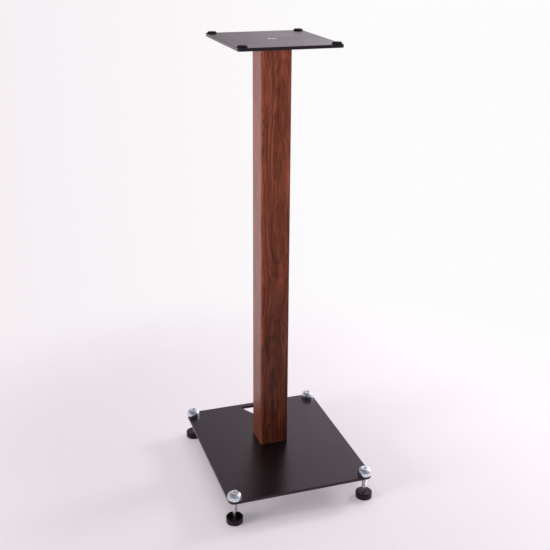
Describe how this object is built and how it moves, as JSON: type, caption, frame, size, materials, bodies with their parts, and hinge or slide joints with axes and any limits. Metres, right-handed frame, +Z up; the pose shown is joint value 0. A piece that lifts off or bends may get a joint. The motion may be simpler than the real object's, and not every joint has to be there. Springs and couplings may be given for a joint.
{
  "type": "speaker stand",
  "caption": "Single-column floor stand: walnut post between a small steel top plate with rubber pads and a wide steel base plate on levelling spikes in floor shoes.",
  "frame": {"origin": "on the floor, under the centre of the base plate", "axes": "+X to the stand's right, +Y to its rear, +Z up along the column"},
  "size_m": [0.256, 0.306, 0.753],
  "materials": {
    "powder_coat": "satin black powder coat",
    "walnut": "walnut, satin lacquer",
    "polished_chrome": "polished chrome",
    "spike_chrome": "chrome, threaded",
    "bright_zinc": "bright zinc plate",
    "insert_brass": "plain turned brass",
    "pin_steel": "ground steel",
    "pad_rubber": "matt black rubber",
    "shoe_black": "satin black turned metal",
    "shoe_felt": "black felt"
  },
  "bodies": {
    "stand": {"base_plate": "powder_coat", "top_plate": "powder_coat", "column": "walnut", "base_screw": "bright_zinc", "top_screw": "bright_zinc", "base_insert": "insert_brass", "top_insert": "insert_brass", "base_pins": "pin_steel", "top_pins": "pin_steel", "top_pad_front_left": "pad_rubber", "top_pad_front_right": "pad_rubber", "top_pad_rear_left": "pad_rubber", "top_pad_rear_right": "pad_rubber"},
    "shoe_front_left": {"floor_shoe_front_left": "shoe_black", "felt_disc_front_left": "shoe_felt"},
    "spike_front_left": {"spike_front_left": "spike_chrome"},
    "nut_front_left": {"dome_nut_front_left": "polished_chrome"},
    "shoe_front_right": {"floor_shoe_front_right": "shoe_black", "felt_disc_front_right": "shoe_felt"},
    "spike_front_right": {"spike_front_right": "spike_chrome"},
    "nut_front_right": {"dome_nut_front_right": "polished_chrome"},
    "shoe_rear_left": {"floor_shoe_rear_left": "shoe_black", "felt_disc_rear_left": "shoe_felt"},
    "spike_rear_left": {"spike_rear_left": "spike_chrome"},
    "nut_rear_left": {"dome_nut_rear_left": "polished_chrome"},
    "shoe_rear_right": {"floor_shoe_rear_right": "shoe_black", "felt_disc_rear_right": "shoe_felt"},
    "spike_rear_right": {"spike_rear_right": "spike_chrome"},
    "nut_rear_right": {"dome_nut_rear_right": "polished_chrome"}
  },
  "joints": [
    {"name": "front_left_level", "type": "slide", "parent": "stand", "child": "shoe_front_left", "axis": [0, 0, 1], "range_m": [-0.005, 0.01]},
    {"name": "front_left_spike_turn", "type": "hinge", "parent": "shoe_front_left", "child": "spike_front_left", "pos_m": [-0.114, -0.139, 0.025], "axis": [0, 0, 1], "range_deg": [-1440, 2880]},
    {"name": "front_left_nut_turn", "type": "hinge", "parent": "stand", "child": "nut_front_left", "pos_m": [-0.114, -0.139, 0.05], "axis": [0, 0, 1], "range_deg": [0, 180]},
    {"name": "front_right_level", "type": "slide", "parent": "stand", "child": "shoe_front_right", "axis": [0, 0, 1], "range_m": [-0.005, 0.01]},
    {"name": "front_right_spike_turn", "type": "hinge", "parent": "shoe_front_right", "child": "spike_front_right", "pos_m": [0.114, -0.139, 0.025], "axis": [0, 0, 1], "range_deg": [-1440, 2880]},
    {"name": "front_right_nut_turn", "type": "hinge", "parent": "stand", "child": "nut_front_right", "pos_m": [0.114, -0.139, 0.05], "axis": [0, 0, 1], "range_deg": [0, 180]},
    {"name": "rear_left_level", "type": "slide", "parent": "stand", "child": "shoe_rear_left", "axis": [0, 0, 1], "range_m": [-0.005, 0.01]},
    {"name": "rear_left_spike_turn", "type": "hinge", "parent": "shoe_rear_left", "child": "spike_rear_left", "pos_m": [-0.114, 0.139, 0.025], "axis": [0, 0, 1], "range_deg": [-1440, 2880]},
    {"name": "rear_left_nut_turn", "type": "hinge", "parent": "stand", "child": "nut_rear_left", "pos_m": [-0.114, 0.139, 0.05], "axis": [0, 0, 1], "range_deg": [0, 180]},
    {"name": "rear_right_level", "type": "slide", "parent": "stand", "child": "shoe_rear_right", "axis": [0, 0, 1], "range_m": [-0.005, 0.01]},
    {"name": "rear_right_spike_turn", "type": "hinge", "parent": "shoe_rear_right", "child": "spike_rear_right", "pos_m": [0.114, 0.139, 0.025], "axis": [0, 0, 1], "range_deg": [-1440, 2880]},
    {"name": "rear_right_nut_turn", "type": "hinge", "parent": "stand", "child": "nut_rear_right", "pos_m": [0.114, 0.139, 0.05], "axis": [0, 0, 1], "range_deg": [0, 180]}
  ],
  "couplings": [
    {"joint": "front_left_spike_turn", "follows": "front_left_level", "rad_per_m": 5026.5},
    {"joint": "front_right_spike_turn", "follows": "front_right_level", "rad_per_m": 5026.5},
    {"joint": "rear_left_spike_turn", "follows": "rear_left_level", "rad_per_m": 5026.5},
    {"joint": "rear_right_spike_turn", "follows": "rear_right_level", "rad_per_m": 5026.5}
  ]
}
